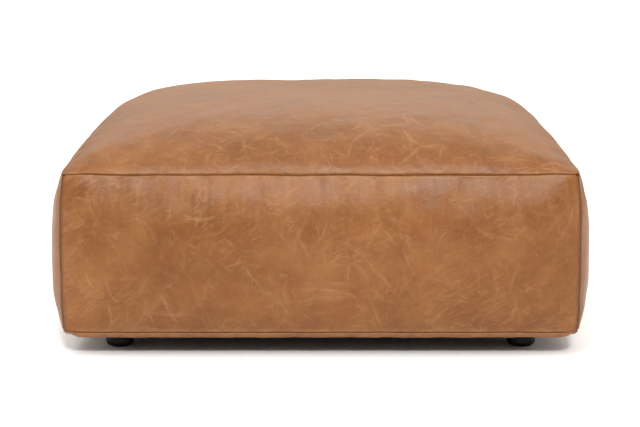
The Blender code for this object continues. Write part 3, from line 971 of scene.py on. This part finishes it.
def lathe(name, profile, centre, segments=96):
    """A turned body from (radius, height) points, on a line that starts and ends on the axis or closes."""
    angles = np.arange(segments) * 2 * math.pi / segments
    verts, faces, rows = [], [], []
    for radius, height in profile:
        if radius < 1e-6:
            rows.append([len(verts)] * segments)
            verts.append((*centre, height))
        else:
            rows.append(list(range(len(verts), len(verts) + segments)))
            ring = centre + radius * np.stack([np.cos(angles), np.sin(angles)], -1)
            verts += [(x, y, height) for x, y in ring]
    for low, high in zip(rows, rows[1:]):
        for k in range(segments):
            face = [low[k], low[(k + 1) % segments], high[(k + 1) % segments], high[k]]
            faces.append(list(dict.fromkeys(face)))
    obj = link_mesh(name, np.array(verts), faces)
    obj.data.set_sharp_from_angle(angle=math.radians(40))
    return obj


def make_feet():
    """Moulded glides: a bowl with a domed side, a step near its top and a rubber ring let into the sole."""
    plastic, rubber = plastic_material(), rubber_material()
    sole, bend, bend_height, ease = 0.0170, 0.0084, 0.0100, 0.0012
    underside = [
        (0, 0.0010), (0.0090, 0.0010), (0.0093, 0.0007), (0.0093, 0.0004),
        (0.0100, 0.0004), (0.0100, 0.0012), (0.0142, 0.0012), (0.0142, 0.0004),  # the groove for the ring
        (0.0148, 0.0001), (0.0155, 0.0),
    ]
    for t in np.linspace(0.02, math.pi / 2, 18):
        underside.append((sole + bend * math.sin(t), bend_height * (1 - math.cos(t))))
    ring = [
        (0.0102, 0.0002), (0.0105, 0.0), (0.0137, 0.0), (0.0140, 0.0002), (0.0140, 0.0011), (0.0102, 0.0011),
        (0.0102, 0.0002),
    ]
    for corner in ("front_left", "front_right", "back_right", "back_left"):
        low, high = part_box(f"foot_{corner}")
        stud_low, stud_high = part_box(f"foot_stud_{corner}")
        centre = ((low[0] + high[0]) / 2, (low[1] + high[1]) / 2)
        radius, top = (high[0] - low[0]) / 2, high[2]
        bore, end = (stud_high[0] - stud_low[0]) / 2 + 0.0004, stud_low[2] - 0.0003
        profile = underside + [(radius, 0.0235), (radius - 0.0004, 0.0241), (radius - 0.0004, 0.0246)]
        profile += [(radius, 0.0252), (radius, top - 0.0014)]
        for t in np.linspace(0, math.pi / 2, 6):
            profile.append((radius - ease * (1 - math.cos(t)), top - ease * (1 - math.sin(t))))
        profile += [(bore + 0.0006, top), (bore, top - 0.0006), (bore, end), (0, end)]
        fit_out(lathe(f"glide_{corner}", profile, centre), plastic, "foot_plastic", f"foot_{corner}")
        fit_out(lathe(f"glide_ring_{corner}", ring, centre), rubber, "foot_plastic")


# ---- inside

def cap_shell(inset, bottom, seed, lumps):
    """A soft cap that follows the cover an inset behind it, from its crown down to bottom.

    Returns its points, its faces and the numbers of the points on its lower rim.
    """
    side = np.sin(np.linspace(-1, 1, 61) * math.pi / 2)
    u, v = np.meshgrid(side, side, indexing="ij")
    crown = top_surface(u, v, rise=CROWN - inset, inset=inset)
    crown[..., 2] += lumps * (1 - np.maximum(np.abs(u), np.abs(v)) ** 8) * waves(u, v, 0.30, seed)
    index = np.arange(u.size).reshape(u.shape)
    rim = border_of(index)
    rim_u, rim_v = u.reshape(-1)[rim], v.reshape(-1)[rim]
    verts, faces = [crown.reshape(-1, 3)], [quads_of(index)]
    below = u.size + np.arange(len(rim))
    for angle in np.linspace(0, math.pi / 2, 9)[1:]:
        level = TOP_SEAM - (TOP_SEAM - bottom) * (1 - math.cos(angle))
        verts.append(top_surface(rim_u, rim_v, np.full_like(rim_u, level), 0.0, inset))
        faces.append(strip(rim, below))
        rim, below = below, below + len(rim)
    return np.concatenate(verts), np.concatenate(faces), rim


def soft_piece(name, verts, faces, material, slot, node):
    """A padded piece inside the cover."""
    obj = link_mesh(name, verts, faces)
    obj.data.set_sharp_from_angle(angle=math.radians(50))
    fit_out(obj, material, slot, node)


def make_fibre_wrap(material):
    """A layer of bonded fibre over the seat foam, open underneath."""
    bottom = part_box("fibre_wrap")[0][2]
    outer, outer_faces, outer_rim = cap_shell(0.0085, bottom, 101, 0.0008)
    inner, inner_faces, inner_rim = cap_shell(0.0148, bottom, 102, 0.0)
    shift = len(outer)
    verts = np.concatenate([outer, inner])
    faces = [outer_faces, inner_faces[:, ::-1] + shift, strip(outer_rim, inner_rim + shift)]
    soft_piece("wrap_layer", verts, np.concatenate(faces), material, "fibre", "fibre_wrap")


def make_seat_foam(material):
    """The foam block under the wrap, flat below."""
    verts, faces, rim = cap_shell(0.0168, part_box("seat_foam")[0][2], 103, 0.0)
    faces = faces.tolist() + [rim.tolist()[::-1]]
    soft_piece("foam_block", verts, faces, material, "foam", "seat_foam")


def make_foam_pads(material):
    """The slabs between the box and the side panels: flat behind, swelling in front, with eased edges."""
    low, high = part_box("foam_pad_front")
    back = high[1]
    s = np.sin(np.linspace(-1, 1, 61) * math.pi / 2)
    t = (1 - np.cos(np.linspace(0, math.pi, 17))) / 2
    u, v = np.meshgrid(s, t, indexing="ij")
    height = low[2] + v * (high[2] - low[2])
    face = side_surface(u, height, 0.0088)
    face[..., 1] += 0.0035 * np.abs(2 * v - 1) ** 10 + 0.0020 * np.abs(u) ** 40
    face = face.reshape(-1, 3)
    rear = np.stack([u * abs(back), np.full_like(u, back), height], -1).reshape(-1, 3)
    index = np.arange(u.size).reshape(u.shape)
    border = border_of(index)
    middle = 0.4 * face[border] + 0.6 * rear[border]
    verts = np.concatenate([face, middle, rear])
    centre, shift = u.size + np.arange(len(border)), u.size + len(border)
    quads = quads_of(index)
    faces = [quads, quads[:, ::-1] + shift, strip(border, centre), strip(centre, border + shift)]
    faces = np.concatenate(faces)
    for side, turn in SIDES.items():
        points = turned(verts, turn)
        soft_piece(f"side_foam_{side}", points, faces, material, "foam", f"foam_pad_{side}")


# ---- other materials

def object_place(n):
    return n.add("ShaderNodeTexCoord").outputs["Object"]


def cloth_material():
    """Spunbonded cloth: black fibres laid flat, pressed with a close pattern of dots."""
    n = Nodes("black_spunbond")
    place = object_place(n)
    fibres = n.noise(n.warp(place, 300.0, 0.004), 900.0, 3.0, 0.7)
    flat = n.vector("MULTIPLY", place, (1.0, 1.0, 0.0))
    dots = n.ramp(n.cells(n.scaled(flat, 420.0), 1.0).outputs["Distance"], 0.22, 0.34)
    tone = n.ramp(n.noise(place, 30.0, 3.0), 0.35, 0.65)
    tone = n.mix(tone, (0.0045, 0.0046, 0.0050), (0.0080, 0.0080, 0.0086))
    tone = n.layered(tone, (fibres, 0.55, 0.75, 0.5, (0.018, 0.018, 0.019)))
    relief = n.bump(fibres, 0.0002, 0.5, n.bump(dots, 0.00012, 0.6))
    n.set(Base_Color=tone, Roughness=n.ramp(fibres, 0.3, 0.7, 0.86, 0.96), Normal=relief)
    n.set(Specular_IOR_Level=0.25)
    return n.material


def plastic_material():
    """Black moulded plastic with a fine spark-eroded grain and a few rub marks."""
    n = Nodes("black_moulding")
    place = object_place(n)
    grain = n.noise(place, 1400.0, 2.0, 0.6)
    rubs = n.noise(n.stretched(n.warp(place, 40.0, 0.01), 0.7, (30.0, 260.0, 120.0)), 1.0, 3.0)
    rubs = n.ramp(rubs, 0.56, 0.70)
    dust = n.ramp(n.noise(place, 120.0, 4.0, 0.6), 0.50, 0.75)
    tone = n.mix(n.times(rubs, 0.35), (0.0025, 0.0026, 0.0028), (0.010, 0.010, 0.010))
    tone = n.mix(n.times(dust, 0.10), tone, (0.020, 0.0195, 0.019))
    n.set(Base_Color=tone, Roughness=n.math("ADD", 0.42, n.times(n.math("ADD", rubs, dust), 0.12)))
    n.set(Normal=n.bump(grain, 0.00012, 0.35), Specular_IOR_Level=0.22)
    return n.material


def rubber_material():
    """Dark rubber, dusty in places."""
    n = Nodes("sole_rubber")
    place = object_place(n)
    grain = n.noise(place, 600.0, 3.0, 0.6)
    tone = n.mix(n.ramp(n.noise(place, 150.0, 3.0), 0.4, 0.7), (0.020, 0.020, 0.020), (0.040, 0.038, 0.036))
    n.set(Base_Color=tone, Roughness=n.ramp(grain, 0.3, 0.7, 0.80, 0.95), Normal=n.bump(grain, 0.0002, 0.5))
    return n.material


def steel_material(name, thread):
    """Bright zinc plate, with a screw thread along Z where thread is its pitch."""
    n = Nodes(name)
    place = object_place(n)
    flecks, _, _ = n.split(n.cells(place, 900.0, "F1", "3D").outputs["Color"])
    tone = n.mix(n.times(flecks, 0.5), (0.56, 0.57, 0.58), (0.70, 0.70, 0.68))
    tone = n.layered(tone, (n.noise(place, 200.0, 4.0), 0.55, 0.75, 0.35, (0.46, 0.44, 0.38)))
    relief = n.bump(n.noise(place, 700.0, 3.0), 0.00010, 0.4)
    if thread:
        _, _, height = n.split(place)
        groove = n.math("PINGPONG", n.math("DIVIDE", height, thread), 0.5)
        relief = n.bump(groove, thread * 0.6, 1.0, relief)
    n.set(Base_Color=tone, Roughness=n.ramp(flecks, 0.0, 1.0, 0.28, 0.42), Normal=relief, Metallic=1.0)
    return n.material


def foam_material():
    """Cut upholstery foam: pale yellow with small open cells."""
    n = Nodes("upholstery_foam")
    place = object_place(n)
    pores = n.cells(n.warp(place, 200.0, 0.003), 480.0, "F1", "3D").outputs["Distance"]
    tone = n.mix(n.ramp(n.noise(place, 7.0, 4.0), 0.35, 0.65), (0.80, 0.70, 0.44), (0.86, 0.78, 0.54))
    tone = n.mix(n.ramp(pores, 0.15, 0.55, 0.55, 0.0), tone, (0.52, 0.42, 0.22))
    n.set(Base_Color=tone, Roughness=n.ramp(pores, 0.0, 0.6, 0.98, 0.86), Normal=n.bump(pores, 0.0010, 0.8))
    n.set(Specular_IOR_Level=0.2)
    return n.material


def fibre_material(name, light, dark, scale):
    """Matted fibres: soft tangled strands at several sizes."""
    n = Nodes(name)
    place = object_place(n)
    strands = n.ridges(n.warp(place, scale * 0.5, 0.6 / scale), scale, 0.10, 4.0)
    mat = n.noise(n.warp(place, scale * 2, 0.3 / scale), scale * 4, 4.0, 0.7)
    tone = n.mix(n.ramp(mat, 0.30, 0.70), dark, light)
    tone = n.mix(n.times(strands, 0.4), tone, light)
    relief = n.bump(n.math("ADD", strands, mat), 0.10 / scale, 0.7)
    n.set(Base_Color=tone, Roughness=n.ramp(mat, 0.3, 0.7, 0.90, 1.0), Normal=relief)
    n.set(Sheen_Weight=0.3, Sheen_Roughness=0.6, Specular_IOR_Level=0.2)
    return n.material


def webbing_material(name, across):
    """Woven elastic strap: ribs across it, with a pale stripe near each edge."""
    rib_pitch, cord_pitch, strap_pitch = 0.0016, 0.0021, 0.185
    n = Nodes(name)
    place = object_place(n)
    x, y, _ = n.split(place)
    long, wide = (x, y) if across else (y, x)
    rib = n.math("ABSOLUTE", n.math("SINE", n.times(long, math.pi / rib_pitch)))
    cord = n.math("ABSOLUTE", n.math("SINE", n.times(wide, math.pi / cord_pitch)))
    weave = n.math("MAXIMUM", rib, cord)
    from_middle = n.math("PINGPONG", wide, strap_pitch / 2)
    stripe = n.times(n.ramp(from_middle, 0.0100, 0.0116), n.ramp(from_middle, 0.0150, 0.0134))
    tone = n.mix(n.ramp(weave, 0.2, 1.0), (0.012, 0.012, 0.013), (0.050, 0.050, 0.054))
    tone = n.mix(n.times(stripe, 0.8), tone, (0.52, 0.50, 0.44))
    tone = n.layered(tone, (n.noise(place, 60.0, 4.0), 0.5, 0.8, 0.2, (0.10, 0.095, 0.09)))
    n.set(Base_Color=tone, Roughness=n.ramp(weave, 0.0, 1.0, 0.92, 0.78), Normal=n.bump(weave, 0.0006, 0.9))
    n.set(Sheen_Weight=0.15, Sheen_Roughness=0.5)
    return n.material


def plywood_material():
    """Birch plywood: figured faces, and thin plies that show as bands on the edges."""
    n = Nodes("birch_plywood")
    place = object_place(n)
    grain = n.noise(n.vector("MULTIPLY", n.warp(place, 5.0, 0.05), (6.0, 6.0, 170.0)), 1.0, 5.0, 0.62)
    figure = n.noise(n.vector("MULTIPLY", n.warp(place, 3.0, 0.16), (3.0, 3.0, 26.0)), 1.0, 3.0, 0.5)
    x, y, _ = n.split(place)
    plies = n.ramp(n.math("PINGPONG", n.math("ADD", x, y), 0.0015), 0.0004, 0.0010)
    _, _, up = n.split(n.add("ShaderNodeNewGeometry").outputs["Normal"])
    on_edge = n.ramp(n.math("ABSOLUTE", up), 0.6, 0.8)
    tone = n.mix(n.ramp(figure, 0.35, 0.65), (0.60, 0.41, 0.235), (0.72, 0.54, 0.34))
    tone = n.layered(tone, (grain, 0.50, 0.72, 0.45, (0.42, 0.26, 0.13)))
    tone = n.mix(n.times(plies, on_edge, 0.55), tone, (0.33, 0.19, 0.09))
    n.set(Base_Color=tone, Roughness=n.ramp(grain, 0.3, 0.7, 0.52, 0.72), Normal=n.bump(grain, 0.0004, 0.5))
    n.set(Specular_IOR_Level=0.35)
    return n.material


def dress_frame():
    """Gives the CAD parts that stay, inside the cover and under it, their own materials."""
    plywood = plywood_material()
    looks = {
        "webbing_across": webbing_material("webbing_across_weave", True),
        "webbing_along": webbing_material("webbing_along_weave", False),
        "deck_felt": fibre_material("needled_felt", (0.24, 0.24, 0.25), (0.09, 0.09, 0.095), 160.0),
        "foot_stud": steel_material("stud_steel", 0.00125),
        "t_nut": steel_material("nut_steel", 0.0),
    }
    for node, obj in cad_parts.items():
        if obj.hide_render:
            continue
        found = [look for start, look in looks.items() if node.startswith(start)]
        for place in obj.material_slots:
            place.material = found[0] if found else plywood


# ---- stage

def make_floor():
    corners = 40.0 * np.array([(-1, -1, 0), (1, -1, 0), (1, 1, 0), (-1, 1, 0)])
    floor = link_mesh("floor", corners, [[0, 1, 2, 3]])
    n = Nodes("floor_white")
    tone = n.mix(n.noise(object_place(n), 0.6, 2.0), (0.940, 0.950, 0.965), (0.950, 0.960, 0.975))
    n.set(Base_Color=tone, Roughness=0.9, Specular_IOR_Level=0.1)
    floor.data.materials.append(n.material)


def make_lights():
    """Soft lights round a pale studio. Azimuth is 0 in front and grows to the right."""

    def sun(name, azimuth, elevation, strength, spread, colour=(1, 1, 1)):
        data = bpy.data.lights.new(name, "SUN")
        data.energy = strength
        data.angle = math.radians(spread)
        data.color = colour
        obj = bpy.data.objects.new(name, data)
        bpy.context.scene.collection.objects.link(obj)
        a, e = math.radians(azimuth), math.radians(elevation)
        towards = Vector((math.sin(a) * math.cos(e), -math.cos(a) * math.cos(e), math.sin(e)))
        obj.rotation_euler = towards.to_track_quat("Z", "Y").to_euler()

    sun("key", 6, 40, 1.95, 9, (1.0, 0.99, 0.97))
    sun("fill", -35, 46, 0.75, 28)
    sun("left", -84, 24, 0.62, 26)
    sun("right", 84, 24, 0.60, 26)
    sun("back", 180, 40, 0.66, 60, (1.0, 0.97, 0.90))
    sun("top", 0, 80, 0.98, 60, (1.0, 0.96, 0.89))

    # A pale studio all round, darkest low down in front so that little light gets under the pouf
    world = bpy.data.worlds.new("studio")
    bpy.context.scene.world = world
    world.use_nodes = True
    n = Nodes("studio", world.node_tree)
    _, ahead, up = n.split(n.add("ShaderNodeTexCoord").outputs["Generated"])
    low = n.ramp(ahead, -0.75, -0.05, 0.07, 0.42)
    high = n.ramp(ahead, -1.0, 0.2, 0.45, 0.58)
    rise = n.ramp(up, 0.05, 0.50)
    strength = n.math("ADD", n.times(high, rise), n.times(low, n.math("SUBTRACT", 1.0, rise)))
    background = world.node_tree.nodes["Background"].inputs
    n.put(background["Strength"], strength)
    n.put(background["Color"], n.mix(n.ramp(ahead, -0.4, 0.3), (1.0, 1.0, 1.0), (1.0, 0.89, 0.74)))


def make_camera():
    data = bpy.data.cameras.new("camera")
    data.lens = 96.87
    data.sensor_width = 36.0
    data.shift_x = -0.0008
    camera = bpy.data.objects.new("camera", data)
    distance, height, look_down = 2.9635, 0.817, 0.1862
    camera.location = (0.0, -(SEAM_HALF + distance), height)
    camera.rotation_euler = (math.pi / 2 - look_down, 0.0, 0.0)
    bpy.context.scene.collection.objects.link(camera)
    bpy.context.scene.camera = camera


make_cover()
make_base_bands()
make_dust_cover()
make_feet()
foam = foam_material()
make_fibre_wrap(fibre_material("bonded_fibre", (0.88, 0.88, 0.86), (0.66, 0.66, 0.64), 70.0))
make_seat_foam(foam)
make_foam_pads(foam)
dress_frame()
make_floor()
make_lights()
make_camera()
bpy.context.scene.view_settings.view_transform = "Standard"
